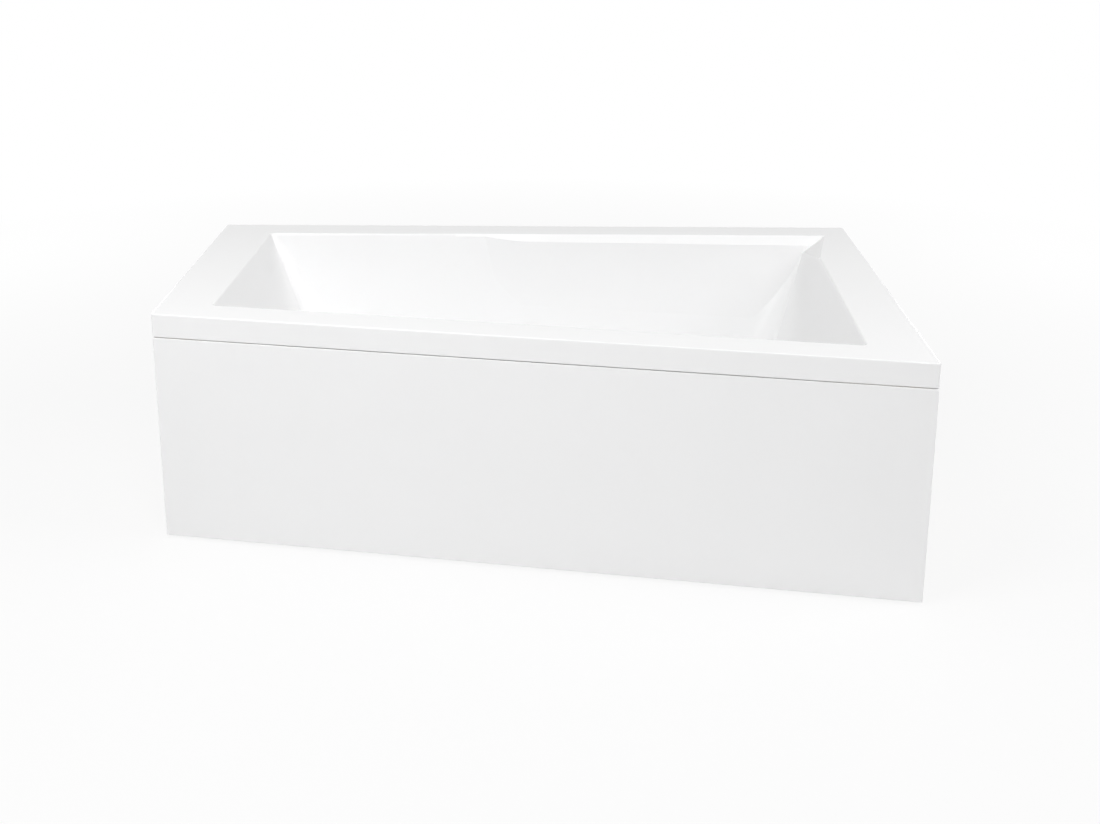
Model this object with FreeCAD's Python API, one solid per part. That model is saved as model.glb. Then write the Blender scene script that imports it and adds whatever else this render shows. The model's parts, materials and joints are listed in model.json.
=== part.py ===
import FreeCAD, Part
import math
import os

Vec = FreeCAD.Vector
up = Vec(0, 0, 1)

# Outline of the bath, wall side at +Y, narrow end at -X, floor at Z = 0
length = 1700.0
wide_width = 1100.0
narrow_width = 800.0
rim_height = 550.0

# Acrylic shell
sheet = 5.0
lip_height = 54.0
lip_corner_radius = 6.0
rim_edge_radius = 3.0
rim_front = 90.0
rim_rear = 92.0
rim_right = 122.0
rim_left = 131.0
opening_turn = 1.2
opening_edge_radius = 6.0
floor_height = 130.0
lean_front = 6.0
lean_rear = 6.0
lean_right = 18.0
lean_left = 24.0
corner_top_radius = 10.0
corner_low_radius = 108.0
floor_radius = 100.0

# Bevelled armrest on the rear wall, and the flare that widens towards the rear corner of the wide end
armrest_from_left = 635.0
armrest_ramp = 205.0
armrest_ramp_depth = 17.0
armrest_end_depth = 23.0
armrest_fade = 330.0
armrest_ramp_steps = 6
flare_run = 220.0
flare_reach = 47.0
flare_start_reach = 2.0
flare_overrun = 1.0
weld_in = 3.0

# Layers under the shell
layer_gap = 0.3
backing = 4.0
board = 16.0
board_margin = 104.0
batten_width = 45.0
batten_height = 20.0
batten_from_edge = 11.0
batten_end_gap = 5.0

# Leg set
bar_width = 40.0
bar_height = 25.0
bar_wall = 2.0
bar_from_left = 520.0
bar_from_right = 420.0
bar_end_gap = 18.0
foot_from_bar_end = 20.0
stud_radius = 6.0
stud_rise = 5.0
stud_clearance = 0.4
pad_radius = 28.0
pad_height = 10.0
boss_radius = 13.0
boss_height = 20.0
pad_floor = 6.0
nut_flats = 19.0
weld_nut_height = 10.0
lock_nut_height = 7.0
bar_screw_radius = 2.5
bar_screw_bite = 12.0
bar_screw_spacing = 130.0
screw_clearance = 0.2
head_radius = 5.0
head_height = 3.0

# Front panel and what holds it
panel_sheet = 4.0
panel_flange = 28.0
panel_floor_gap = 6.0
panel_lip_gap = 2.5
panel_end_gap = 0.5
panel_edge_radius = 1.5
stiffener_length = 1400.0
stiffener_height = 60.0
stiffener_thickness = 9.0
stiffener_from_bottom = 114.0
stiffener_from_top = 53.5
grip_gap = 0.3
clip_steel = 2.0
clip_width = 40.0
clip_spacing = 400.0
clip_count = 4
clip_reach = 20.0
clip_tab = 22.0
arm_steel = 3.0
arm_width = 30.0
arm_overlap = 70.0
bolt_radius = 4.0
bolt_flats = 13.0
bolt_head = 5.3
bolt_nut = 6.5

# Wall brackets
bracket_steel = 3.0
bracket_width = 40.0
bracket_spacing = 1000.0
bracket_drop = 70.0
bracket_shelf = 40.0
wall_hole_radius = 3.5
wall_hole_spacing = 30.0

# Waste, behind the middle of the front edge, set back from where the flat floor starts
waste_setback = 60.8
waste_hole_radius = 27.0
flange_radius = 35.0
flange_height = 2.5
neck_radius = 25.0
neck_bore = 22.0
neck_length = 27.0
upper_seal = 1.0
lower_seal = 3.0
seal_radius = 41.0
seal_inset = 2.0
cup_radius = 30.0
cup_clearance = 0.2
cup_drop = 70.0
pipe_wall = 3.0
hose_port_radius = 18.0
drain_radius = 20.0
port_drop = 48.0
hose_port_reach = 66.0
drain_reach = 56.0

# Pop-up plug
cap_radius = 30.0
cap_height = 5.0
cap_edge = 1.0
cap_crown = 1.2
plug_seal_height = 2.2
plug_seal_radius = 27.0
plug_seal_bore = 21.0
stem_radius = 4.0
stem_length = 58.0
run_clearance = 0.1
hub_radius = 7.0
hub_height = 12.0
spoke_count = 3
spoke_width = 4.0
spoke_height = 6.0
spoke_rise = 2.0
plug_lift = 12.0

# Crank that lifts the plug
crank_arm = 14.2
crank_swing = 50.0
crank_shaft_radius = 3.0
crank_tip_radius = 4.5
crank_thickness = 2.4
crank_gap = 0.3
pulley_radius = 9.0
pulley_width = 5.0
pulley_gap = 4.0
housing_radius = 16.0
housing_wall = 3.0
housing_length = 20.0
boss_face = 32.0

# Trap and outlet
trap_distance = 118.0
trap_radius = 40.0
trap_board_gap = 6.7
trap_height = 74.0
trap_cap_height = 20.0
grip_rib_count = 12
grip_rib_width = 5.0
grip_rib_height = 2.5
trap_dam_gap = 10.0
trap_outlet_drop = 24.0
trap_outlet_reach = 64.0
outlet_length = 140.0
union_width = 24.0
union_radius = 27.0
union_corner_radius = 29.0

# Overflow on the front wall
overflow_drop = 95.0
overflow_hole_radius = 28.0
plate_radius = 37.0
plate_height = 5.0
plate_edge_radius = 2.0
plate_hole_radius = 5.5
plate_hole_offset = 17.0
knob_radius = 27.0
knob_height = 11.0
knob_gap = 4.0
knob_edge_radius = 3.0
knob_grip_width = 10.0
knob_grip_height = 8.0
knob_grip_inset = 4.0
knob_grip_radius = 2.0
spindle_radius = 4.0
spindle_end_gap = 10.0
overflow_cup_radius = 33.0
overflow_cup_depth = 62.0
overflow_port_setback = 40.0
overflow_port_reach = 75.0
plate_screw_offset = 21.0
plate_screw_radius = 2.0
plate_screw_head = 2.0
plate_screw_gap = 1.0
screw_post_radius = 5.0

# Hose and cable between overflow and waste
hose_clearance = 0.3
hose_wall = 2.5
rib_height = 2.0
rib_pitch = 6.0
rib_rise_from = 0.05
rib_flat_from = 0.3
hose_overlap = 22.0
hose_bend = 100.0
clamp_width = 14.0
clamp_radius = 26.5
clamp_margin = 2.0
cable_offset = 42.0
cable_radius = 2.5
cable_bend = 80.0
cable_ear = 16.0
gland_radius = 5.0
gland_length = 14.0

half = length / 2
rear = wide_width / 2
taper = math.atan2(wide_width - narrow_width, length)
backing_under = floor_height - sheet - layer_gap - backing
board_under = backing_under - board
trap_top = board_under - trap_board_gap
trap_bottom = trap_top - trap_height
bar_under = board_under - bar_height
batten_under = rim_height - sheet - batten_height
lip_under = rim_height - lip_height
panel_top = lip_under - panel_lip_gap
opening_rear = rear - rim_rear
overflow_height = rim_height - overflow_drop
wall_foot = rim_front + (rim_height - floor_height) * math.tan(math.radians(lean_front))
waste_in = wall_foot + floor_radius * math.tan(math.radians((90 - lean_front) / 2)) + waste_setback
bevel_start = opening_rear + opening_edge_radius * math.tan(math.radians((90 - lean_rear) / 2))

# The front edge's own frame: X along the edge, Y inward, Z up
front_frame = FreeCAD.Placement(Vec(0, rear - (wide_width + narrow_width) / 2, 0),
                                FreeCAD.Rotation(up, -math.degrees(taper)))

outline = [Vec(-half, rear - narrow_width), Vec(half, rear - wide_width), Vec(half, rear), Vec(-half, rear)]
leans = [math.radians(a) for a in (lean_front, lean_right, lean_rear, lean_left)]


def inward(direction):
    return Vec(-direction.y, direction.x, 0)


def edges_of(corners):
    lines = []
    for i, corner in enumerate(corners):
        after = corners[(i + 1) % len(corners)]
        lines.append(((corner + after) * 0.5, (after - corner).normalize()))
    return lines


def crossing(line_a, line_b):
    (p, d), (q, e) = line_a, line_b
    reach = ((q.x - p.x) * e.y - (q.y - p.y) * e.x) / (d.x * e.y - d.y * e.x)
    return p + d * reach


def corners_of(lines):
    return [crossing(lines[i - 1], lines[i]) for i in range(len(lines))]


def shifted(lines, distances):
    return [(p + inward(d) * s, d) for (p, d), s in zip(lines, distances)]


def inset(distances):
    return corners_of(shifted(edges_of(outline), distances))


def at_height(points, z):
    return [Vec(p.x, p.y, z) for p in points]


def prism(points, low, high):
    loop = at_height(points, low)
    return Part.Face(Part.makePolygon(loop + loop[:1])).extrude(up * (high - low))


def box(x0, x1, y0, y1, z0, z1):
    return Part.makeBox(x1 - x0, y1 - y0, z1 - z0, Vec(x0, y0, z0))


def rod(radius, start, direction, reach):
    return Part.makeCylinder(radius, reach, start, direction)


def ring(outer, inner, start, direction, reach):
    return rod(outer, start, direction, reach).cut(rod(inner, start, direction, reach))


def hexagon(flats, bore, start, reach):
    points = []
    for i in range(6):
        turn = math.radians(60 * i)
        points.append(Vec(math.cos(turn), math.sin(turn), 0) * (flats / math.sqrt(3)) + start)
    solid = Part.Face(Part.makePolygon(points + points[:1])).extrude(up * reach)
    if bore:
        solid = solid.cut(rod(bore, start, up, reach))
    return solid


def turned(profile, centre):
    loop = [Vec(r, 0, z) for r, z in profile]
    face = Part.Face(Part.makePolygon(loop + loop[:1]))
    solid = face.revolve(Vec(0, 0, 0), up, 360)
    solid.translate(centre)
    return solid


def folded(profile, middle, width):
    loop = [Vec(middle - width / 2, y, z) for y, z in profile]
    return Part.Face(Part.makePolygon(loop + loop[:1])).extrude(Vec(width, 0, 0))


def above_plane(point, normal, size):
    block = Part.makeBox(size, size, size, Vec(-size / 2, -size / 2, 0))
    block.Placement = FreeCAD.Placement(point, FreeCAD.Rotation(up, normal))
    return block


def placed(solid, frame):
    copy = solid.copy()
    copy.Placement = frame.multiply(copy.Placement)
    return copy


def group(solids):
    return Part.makeCompound(solids)


def opening_lines():
    lines = shifted(edges_of(outline), [rim_front, rim_right, rim_rear, rim_left])
    turn = FreeCAD.Rotation(up, -opening_turn)
    for i in (1, 3):
        point, direction = lines[i]
        lines[i] = (point, turn.multVec(direction))
    return lines


def basin_lines(z, grow):
    distances = [(rim_height - z) * math.tan(a) - grow / math.cos(a) for a in leans]
    return shifted(opening_lines(), distances)


def basin(grow, top):
    low = floor_height - grow
    upper = at_height(corners_of(basin_lines(top, grow)), top)
    lower = at_height(corners_of(basin_lines(low, grow)), low)
    faces = [Part.Face(Part.makePolygon(loop + loop[:1])) for loop in (upper, lower)]
    for i in range(4):
        j = (i + 1) % 4
        side = [upper[i], upper[j], lower[j], lower[i], upper[i]]
        faces.append(Part.Face(Part.makePolygon(side)))
    solid = Part.Solid(Part.Shell(faces))
    if solid.Volume < 0:
        solid.reverse()
    for i in range(4):
        solid = round_corner(solid, upper[i], lower[i], grow)
    floor_edges = [e for e in solid.Edges if all(abs(v.Z - low) < 0.01 for v in e.Vertexes)]
    return solid.makeFillet(floor_radius + grow, floor_edges)


def round_corner(solid, high, low, grow):
    for edge in solid.Edges:
        ends = [edge.Vertexes[0].Point, edge.Vertexes[-1].Point]
        if min((ends[0] - high).Length, (ends[1] - high).Length) > 0.01:
            continue
        if min((ends[0] - low).Length, (ends[1] - low).Length) > 0.01:
            continue
        radii = [corner_top_radius + grow, corner_low_radius + grow]
        if (ends[0] - low).Length < 0.01:
            radii.reverse()
        return solid.makeFillet(radii[0], radii[1], [edge])
    return solid


def rim_and_lip():
    solid = prism(outline, lip_under, rim_height)
    upright = [e for e in solid.Edges if abs(e.Vertexes[0].Z - e.Vertexes[-1].Z) > 1]
    solid = solid.makeFillet(lip_corner_radius, upright)
    top = [e for e in solid.Edges if all(abs(v.Z - rim_height) < 0.01 for v in e.Vertexes)]
    solid = solid.makeFillet(rim_edge_radius, top)
    return solid.cut(prism(inset([sheet] * 4), lip_under, rim_height - sheet))


def flare_points(y, spare):
    # The sharp edge, and where the flare leaves the rim and meets the end wall
    edge = crossing(opening_lines()[1], (Vec(0, y, 0), Vec(1, 0, 0)))
    edge.z = rim_height
    share = 1 - (bevel_start - y) / flare_run
    reach = flare_start_reach + (flare_reach - flare_start_reach) * share + spare
    top = edge + Vec(reach, 0, 0)
    foot = edge - Vec(math.sin(leans[1]), 0, math.cos(leans[1])) * reach
    return edge, top, foot


def flare_pad_section(y, grow):
    edge, top, foot = flare_points(y, 0)
    away = ((top + foot) * 0.5 - edge).normalize() * (sheet + grow)
    along = (top - foot).normalize()
    ceiling = rim_height - sheet / 2
    high = top + away
    high = high + along * ((ceiling - high.z) / along.z)
    low = foot + away - along * sheet
    points = [high, low, low - Vec(sheet + 2 * grow, 0, 0), edge - Vec(weld_in + grow, 0, sheet / 2)]
    return Part.makePolygon(points + points[:1])


def flare_pad(grow):
    near, far = bevel_start - flare_run - grow, bevel_start + sheet + grow
    return Part.makeLoft([flare_pad_section(near, grow), flare_pad_section(far, grow)], True, True)


def flare_section(y, spare):
    # The flare runs on past the rim and the wall, so that it crosses both
    edge, top, foot = flare_points(y, spare)
    past = (top - foot).normalize() * flare_overrun
    top, foot = top + past, foot - past
    low = rim_height - 2 * flare_reach
    high = rim_height + sheet
    around = [top, Vec(top.x, y, high), Vec(-half, y, high), Vec(-half, y, low),
              Vec(foot.x - flare_reach, y, low), foot]
    return Part.makePolygon(around + around[:1])


def flare_space(spare):
    # All that lies on the basin's side of the flare
    ends = [flare_section(y, spare) for y in (bevel_start - flare_run, bevel_start + sheet)]
    return Part.makeLoft(ends, True, True)


def flare_cut():
    # Full depth as far as the armrest's face, and only above its bevel behind that
    edge, top, foot = flare_points(bevel_start, 0)
    face = bevel_start - armrest_end_depth + weld_in
    low = rim_height - 2 * flare_reach
    high = rim_height + sheet
    left, right = foot.x - weld_in, top.x + sheet
    front = box(left, right, bevel_start - flare_run, face, low, high)
    behind = box(left, right, face, bevel_start + sheet, low, high)
    behind = behind.common(above_plane(top, Vec(0, -1, 1), length))
    return flare_space(0).common(front.fuse(behind))


def armrest_section(x, depth):
    # Upright under the bevel, then a curve that runs out into the leaning wall
    face = bevel_start - depth
    thickness = max(opening_rear - face, weld_in)
    top = Vec(x, face, rim_height)
    turn = Vec(x, face, rim_height - thickness / math.tan(leans[2]))
    foot = Vec(x, opening_rear - armrest_fade * math.tan(leans[2]) + weld_in, rim_height - armrest_fade)
    curve = Part.BezierCurve()
    curve.setPoles([top, turn, foot])
    back = [foot, foot + Vec(0, weld_in, 0), Vec(x, bevel_start + weld_in, rim_height), top]
    return Part.Wire([curve.toShape()] + Part.makePolygon(back).Edges)


def armrest_room():
    # The basin, and the flare's space beside the armrest's face
    edge, top, foot = flare_points(bevel_start, weld_in)
    face = bevel_start - armrest_end_depth
    low = rim_height - 2 * flare_reach
    beside = box(foot.x, top.x, face - weld_in, face + 2 * weld_in, low, rim_height)
    return basin(weld_in, rim_height).fuse(flare_space(weld_in).common(beside))


def armrest():
    start = armrest_from_left - half
    ramp = []
    for i in range(armrest_ramp_steps + 1):
        share = i / armrest_ramp_steps
        depth = armrest_ramp_depth * share * share * (3 - 2 * share)
        ramp.append(armrest_section(start + armrest_ramp * share, depth))
    run = [ramp[-1], armrest_section(flare_points(bevel_start, weld_in)[1].x, armrest_end_depth)]
    solid = Part.makeLoft(ramp, True, False).fuse(Part.makeLoft(run, True, True))
    return solid.common(armrest_room())


def bevel_cut():
    start = armrest_from_left - half
    end = flare_points(bevel_start, weld_in)[1].x + sheet
    reach = armrest_end_depth * 2
    profile = [(bevel_start - reach, rim_height - reach), (bevel_start + sheet, rim_height + sheet),
               (bevel_start - reach, rim_height + sheet)]
    return folded(profile, (start + end) / 2, end - start).common(flare_space(0))


def overflow_frame():
    lean = leans[0]
    point = Vec(0, rim_front + overflow_drop * math.tan(lean), overflow_height)
    normal = Vec(0, math.cos(lean), math.sin(lean))
    rise = Vec(0, -math.sin(lean), math.cos(lean))
    turn = FreeCAD.Rotation(rise.cross(normal), rise, normal, "ZYX")
    return FreeCAD.Placement(point, turn)


def wall_hole(radius):
    depth = sheet + backing + 2 * weld_in
    return on_wall(rod(radius, at_wall(depth - weld_in), up, depth))


def floor_hole(radius):
    depth = sheet + backing + board + 2 * weld_in
    return placed(rod(radius, Vec(0, waste_in, floor_height + weld_in - depth), up, depth), front_frame)


def tub_shell():
    solid = rim_and_lip().fuse(basin(sheet, rim_height - sheet / 2))
    solid = solid.fuse(flare_pad(0))
    solid = solid.cut(basin(0, rim_height + sheet))
    rim_top = [e for e in solid.Edges if all(abs(v.Z - rim_height) < 0.01 for v in e.Vertexes)]
    limit = inset([rim_front / 2, rim_right / 2, rim_rear / 2, rim_left / 2])
    inner = prism(limit, rim_height - 1, rim_height + 1)
    mouth = [e for e in rim_top if inner.isInside(e.valueAt(e.FirstParameter), 0.01, True)]
    solid = solid.makeFillet(opening_edge_radius, mouth)
    solid = solid.cut(flare_cut()).fuse(armrest()).cut(bevel_cut())
    solid = solid.cut(wall_hole(overflow_hole_radius)).cut(floor_hole(waste_hole_radius))
    return solid.removeSplitter()


def laminate_backing():
    near = sheet + layer_gap
    top = rim_height - sheet - layer_gap
    solid = basin(near + backing, top).cut(basin(near, top + sheet))
    solid = solid.cut(flare_pad(layer_gap))
    return solid.cut(wall_hole(overflow_hole_radius)).cut(floor_hole(waste_hole_radius))


def base_board():
    lines = shifted(basin_lines(floor_height, 0), [board_margin] * 4)
    solid = prism(corners_of(lines), board_under, backing_under)
    solid = solid.cut(floor_hole(seal_radius + board))
    for x in bar_places():
        for point in bar_screw_points(x):
            start = Vec(point.x, point.y, board_under)
            solid = solid.cut(rod(bar_screw_radius + screw_clearance, start, up, bar_screw_bite + weld_in))
    return solid


def batten(edge):
    near = [batten_from_edge] * 4
    if edge in (1, 3):
        near[0] = near[2] = batten_from_edge + batten_width + batten_end_gap
    far = list(near)
    far[edge] = batten_from_edge + batten_width
    a, b = inset(near), inset(far)
    other = (edge + 1) % 4
    return prism([a[edge], a[other], b[other], b[edge]], batten_under, rim_height - sheet)


def rim_batten_front():
    solid = batten(0)
    for place in clip_places():
        hole = rod(bar_screw_radius + screw_clearance, clip_screw_point(place), up, bar_screw_bite + weld_in)
        solid = solid.cut(placed(hole, front_frame))
    return solid


def rim_batten_rear():
    solid = batten(2)
    for x in bracket_places():
        start = Vec(x, rear - batten_from_edge - bracket_shelf / 2, batten_under)
        solid = solid.cut(rod(bar_screw_radius + screw_clearance, start, up, bar_screw_bite + weld_in))
    return solid


def bar_places():
    return [bar_from_left - half, half - bar_from_right]


def bar_ends(x):
    upright = (Vec(x, 0, 0), Vec(0, 1, 0))
    lines = basin_lines(floor_height, 0)
    return crossing(upright, lines[0]).y + bar_end_gap, crossing(upright, lines[2]).y - bar_end_gap


def bar_screw_points(x):
    front_end, rear_end = bar_ends(x)
    middle = (front_end + rear_end) / 2
    return [Vec(x, middle + i * bar_screw_spacing, 0) for i in (-1, 0, 1)]


def foot_points(x):
    front_end, rear_end = bar_ends(x)
    return [Vec(x, front_end + foot_from_bar_end, 0), Vec(x, rear_end - foot_from_bar_end, 0)]


def crossbar(x):
    front_end, rear_end = bar_ends(x)
    solid = box(x - bar_width / 2, x + bar_width / 2, front_end, rear_end, bar_under, board_under)
    wall = bar_wall
    solid = solid.cut(box(x - bar_width / 2 + wall, x + bar_width / 2 - wall, front_end, rear_end,
                          bar_under + wall, board_under - wall))
    for point in foot_points(x):
        solid = solid.cut(rod(stud_radius + stud_clearance, Vec(point.x, point.y, bar_under), up, bar_height))
    for point in bar_screw_points(x):
        start = Vec(point.x, point.y, bar_under)
        solid = solid.cut(rod(bar_screw_radius + screw_clearance, start, up, bar_height))
    bolt = arm_bolt_point(x) - Vec(bar_width, 0, 0)
    return solid.cut(rod(bolt_radius + screw_clearance, bolt, Vec(1, 0, 0), 2 * bar_width))


def screw(point, tip):
    start = Vec(point.x, point.y, point.z - head_height)
    head = rod(head_radius, start, up, head_height)
    return head.fuse(rod(bar_screw_radius, start, up, head_height + tip))


def crossbar_screws():
    solids = []
    for x in bar_places():
        for point in bar_screw_points(x):
            solids.append(screw(Vec(point.x, point.y, bar_under), bar_height + bar_screw_bite))
    return group(solids)


def foot_stud(point):
    low = pad_floor
    return rod(stud_radius, Vec(point.x, point.y, low), up, board_under + stud_rise - low)


def foot_pad(point):
    solid = rod(pad_radius, Vec(point.x, point.y, 0), up, pad_height)
    solid = solid.makeChamfer(2, [e for e in solid.Edges if abs(e.CenterOfMass.z - pad_height) < 0.01])
    tall = pad_height + boss_height
    solid = solid.fuse(rod(boss_radius, Vec(point.x, point.y, 0), up, tall))
    return solid.cut(rod(stud_radius + layer_gap, Vec(point.x, point.y, pad_floor), up, tall))


def weld_nuts():
    bore = stud_radius + layer_gap
    low = bar_under - weld_nut_height
    points = [p for x in bar_places() for p in foot_points(x)]
    return group([hexagon(nut_flats, bore, Vec(p.x, p.y, low), weld_nut_height) for p in points])


def lock_nuts():
    bore = stud_radius + layer_gap
    low = bar_under - weld_nut_height - lock_nut_height
    points = [p for x in bar_places() for p in foot_points(x)]
    return group([hexagon(nut_flats, bore, Vec(p.x, p.y, low), lock_nut_height) for p in points])


def bracket_places():
    return [-bracket_spacing / 2, bracket_spacing / 2]


def wall_brackets():
    t = bracket_steel
    face = rear - layer_gap
    inner = rear - sheet - layer_gap
    step = lip_under - layer_gap
    shelf_end = rear - batten_from_edge - bracket_shelf
    profile = [(shelf_end, batten_under), (shelf_end, batten_under - t), (inner - t, batten_under - t),
               (inner - t, step - t), (face - t, step - t), (face - t, step - bracket_drop),
               (face, step - bracket_drop), (face, step), (inner, step), (inner, batten_under)]
    solids = []
    for x in bracket_places():
        solid = folded(profile, x, bracket_width)
        for z in wall_hole_heights():
            start = Vec(x, rear - bracket_shelf, z)
            solid = solid.cut(rod(wall_hole_radius, start, Vec(0, 1, 0), bracket_shelf))
        start = Vec(x, rear - batten_from_edge - bracket_shelf / 2, batten_under - t)
        solids.append(solid.cut(rod(bar_screw_radius + screw_clearance, start, up, t)))
    return group(solids)


def wall_hole_heights():
    middle = lip_under - layer_gap - (bracket_drop + bracket_steel) / 2
    return [middle - wall_hole_spacing / 2, middle + wall_hole_spacing / 2]


def bracket_screws():
    z = batten_under - bracket_steel
    y = rear - batten_from_edge - bracket_shelf / 2
    return group([screw(Vec(x, y, z), bracket_steel + bar_screw_bite) for x in bracket_places()])


def between_ends(gap):
    return box(gap - half, half - gap, -wide_width, wide_width, 0, rim_height)


def front_panel():
    solid = placed(box(-length, length, 0, panel_flange, panel_floor_gap, panel_top), front_frame)
    solid = solid.common(between_ends(panel_end_gap))
    outside = [f for f in solid.Faces if f.CenterOfMass.y < solid.BoundBox.Center.y]
    face = max(outside, key=lambda f: f.Area)
    solid = solid.makeFillet(panel_edge_radius, face.Edges)
    pocket = box(-length, length, panel_sheet, length, panel_floor_gap + panel_sheet, panel_top - panel_sheet)
    pocket = placed(pocket, front_frame).common(between_ends(panel_end_gap + panel_sheet))
    return solid.cut(pocket)


def panel_stiffeners():
    reach = stiffener_length / 2
    back = panel_sheet + stiffener_thickness
    low = panel_floor_gap + stiffener_from_bottom
    high = panel_top - stiffener_from_top
    lower = box(-reach, reach, panel_sheet, back, low, low + stiffener_height)
    upper = box(-reach, reach, panel_sheet, back, high - stiffener_height, high)
    return placed(group([lower, upper]), front_frame)


def clip_places():
    return [(i - (clip_count - 1) / 2) * clip_spacing for i in range(clip_count)]


def clip_screw_point(place):
    return Vec(place, panel_flange + grip_gap + clip_steel + clip_tab / 2, batten_under)


def panel_top_clips():
    t = clip_steel
    back = panel_flange + grip_gap
    upper = panel_top + grip_gap
    lower = panel_top - panel_sheet - grip_gap
    mouth = back - clip_reach
    profile = [(mouth, lower - t), (back + t, lower - t), (back + t, batten_under - t),
               (back + t + clip_tab, batten_under - t), (back + t + clip_tab, batten_under),
               (back, batten_under), (back, upper + t), (mouth, upper + t), (mouth, upper),
               (back, upper), (back, lower), (mouth, lower)]
    solids = []
    for place in clip_places():
        solid = folded(profile, place, clip_width)
        hole = clip_screw_point(place) - up * t
        solids.append(solid.cut(rod(bar_screw_radius + screw_clearance, hole, up, t)))
    return placed(group(solids), front_frame)


def clip_screws():
    solids = []
    for place in clip_places():
        solids.append(screw(clip_screw_point(place) - up * clip_steel, clip_steel + bar_screw_bite))
    return placed(group(solids), front_frame)


def arm_bolt_point(x):
    return Vec(x, bar_ends(x)[0] + arm_overlap, (bar_under + board_under) / 2)


def flange_back(x):
    slope = math.tan(taper)
    front = rear - (wide_width + narrow_width) / 2 - x * slope
    return front + panel_flange / math.cos(taper) + arm_width / 2 * slope + grip_gap


def panel_arm(x):
    t = arm_steel
    side = x + bar_width / 2
    back = flange_back(side)
    bolt = arm_bolt_point(x)
    upper = panel_floor_gap + panel_sheet + grip_gap
    lower = panel_floor_gap - grip_gap
    mouth = back - clip_reach
    profile = [(mouth, lower - t), (back + t, lower - t), (back + t, upper + arm_width),
               (back, upper + arm_width), (back, upper + t), (mouth, upper + t), (mouth, upper),
               (back, upper), (back, lower), (mouth, lower)]
    clip = folded(profile, side, arm_width)
    post = box(side, side + t, back + t, back + t + arm_width, upper, board_under)
    beam = box(side, side + t, back + t, bolt.y + arm_width / 2, bar_under, board_under)
    return clip.fuse(post).fuse(beam).cut(rod(bolt_radius + screw_clearance, bolt, Vec(1, 0, 0), bar_width))


def panel_arms():
    return group([panel_arm(x) for x in bar_places()])


def cross_hexagon(bore, start, reach):
    solid = hexagon(bolt_flats, bore, Vec(0, 0, 0), reach)
    solid.rotate(Vec(0, 0, 0), Vec(0, 1, 0), 90)
    solid.translate(start)
    return solid


def arm_bolts():
    solids = []
    for x in bar_places():
        head = arm_bolt_point(x) + Vec(bar_width / 2 + arm_steel, 0, 0)
        reach = arm_steel + bar_width + bolt_nut + bar_wall
        shank = rod(bolt_radius, head, Vec(-1, 0, 0), reach)
        solids.append(cross_hexagon(0, head, bolt_head).fuse(shank))
    return group(solids)


def arm_nuts():
    solids = []
    for x in bar_places():
        start = arm_bolt_point(x) - Vec(bar_width / 2 + bolt_nut, 0, 0)
        solids.append(cross_hexagon(bolt_radius + screw_clearance, start, bolt_nut))
    return group(solids)


def waste_axis(z):
    return Vec(0, waste_in, z)


def port_z():
    return backing_under - port_drop


def cup_under():
    return backing_under - lower_seal - cup_drop


def waste_upper_seal():
    solid = ring(flange_radius - seal_inset, waste_hole_radius, waste_axis(floor_height), up, upper_seal)
    return placed(solid, front_frame)


def waste_flange():
    low = floor_height + upper_seal
    rim = ring(flange_radius, neck_bore, waste_axis(low), up, flange_height)
    top = [e for e in rim.Edges if abs(e.CenterOfMass.z - low - flange_height) < 0.01]
    outer = [e for e in top if e.BoundBox.XLength > 2 * neck_radius]
    rim = rim.makeFillet(flange_height / 2, outer)
    solid = rim.fuse(ring(neck_radius, neck_bore, waste_axis(low - neck_length), up, neck_length))
    spoke_z = low - neck_length + spoke_rise
    for i in range(spoke_count):
        spoke = box(0, (neck_bore + neck_radius) / 2, -spoke_width / 2, spoke_width / 2, 0, spoke_height)
        spoke.rotate(Vec(0, 0, 0), up, 360 / spoke_count * (i + 0.25))
        spoke.translate(waste_axis(spoke_z))
        solid = solid.fuse(spoke)
    solid = solid.fuse(rod(hub_radius, waste_axis(spoke_z), up, hub_height))
    solid = solid.cut(rod(stem_radius + run_clearance, waste_axis(spoke_z), up, hub_height))
    return placed(solid, front_frame)


def waste_lower_seal():
    solid = ring(seal_radius, waste_hole_radius, waste_axis(backing_under - lower_seal), up, lower_seal)
    return placed(solid, front_frame)


def waste_body():
    top = backing_under - lower_seal
    bore = neck_radius + cup_clearance
    forward = Vec(0, -1, 0)
    backward = Vec(0, 1, 0)
    solid = rod(cup_radius, waste_axis(cup_under()), up, cup_drop)
    solid = solid.fuse(rod(seal_radius, waste_axis(top - pipe_wall), up, pipe_wall))
    solid = solid.fuse(rod(hose_port_radius, waste_axis(port_z()), forward, hose_port_reach))
    solid = solid.fuse(rod(drain_radius, waste_axis(port_z()), backward, drain_reach))
    crank = crank_point()
    solid = solid.fuse(box(0, boss_face, crank.y - housing_radius, crank.y + housing_radius,
                           crank.z - housing_radius, crank.z + housing_radius))
    solid = solid.cut(rod(bore, waste_axis(cup_under() + pipe_wall), up, cup_drop))
    solid = solid.cut(rod(hose_port_radius - pipe_wall, waste_axis(port_z()), forward, hose_port_reach))
    solid = solid.cut(rod(drain_radius - pipe_wall, waste_axis(port_z()), backward, drain_reach))
    solid = solid.cut(rod(crank_shaft_radius + run_clearance, crank, Vec(1, 0, 0), boss_face))
    return placed(solid, front_frame)


def plug_bottom():
    return floor_height + upper_seal + flange_height + layer_gap


def plug_seal():
    solid = ring(plug_seal_radius, plug_seal_bore, waste_axis(plug_bottom()), up, plug_seal_height)
    return placed(solid, front_frame)


def plug_cap():
    low = plug_bottom() + plug_seal_height
    profile = [(0, 0), (cap_radius - cap_edge, 0), (cap_radius, cap_edge), (cap_radius, 2 * cap_edge),
               (cap_radius - 2 * cap_edge, cap_height - cap_crown), (cap_radius / 2, cap_height),
               (0, cap_height)]
    return placed(turned(profile, waste_axis(low)), front_frame)


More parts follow.
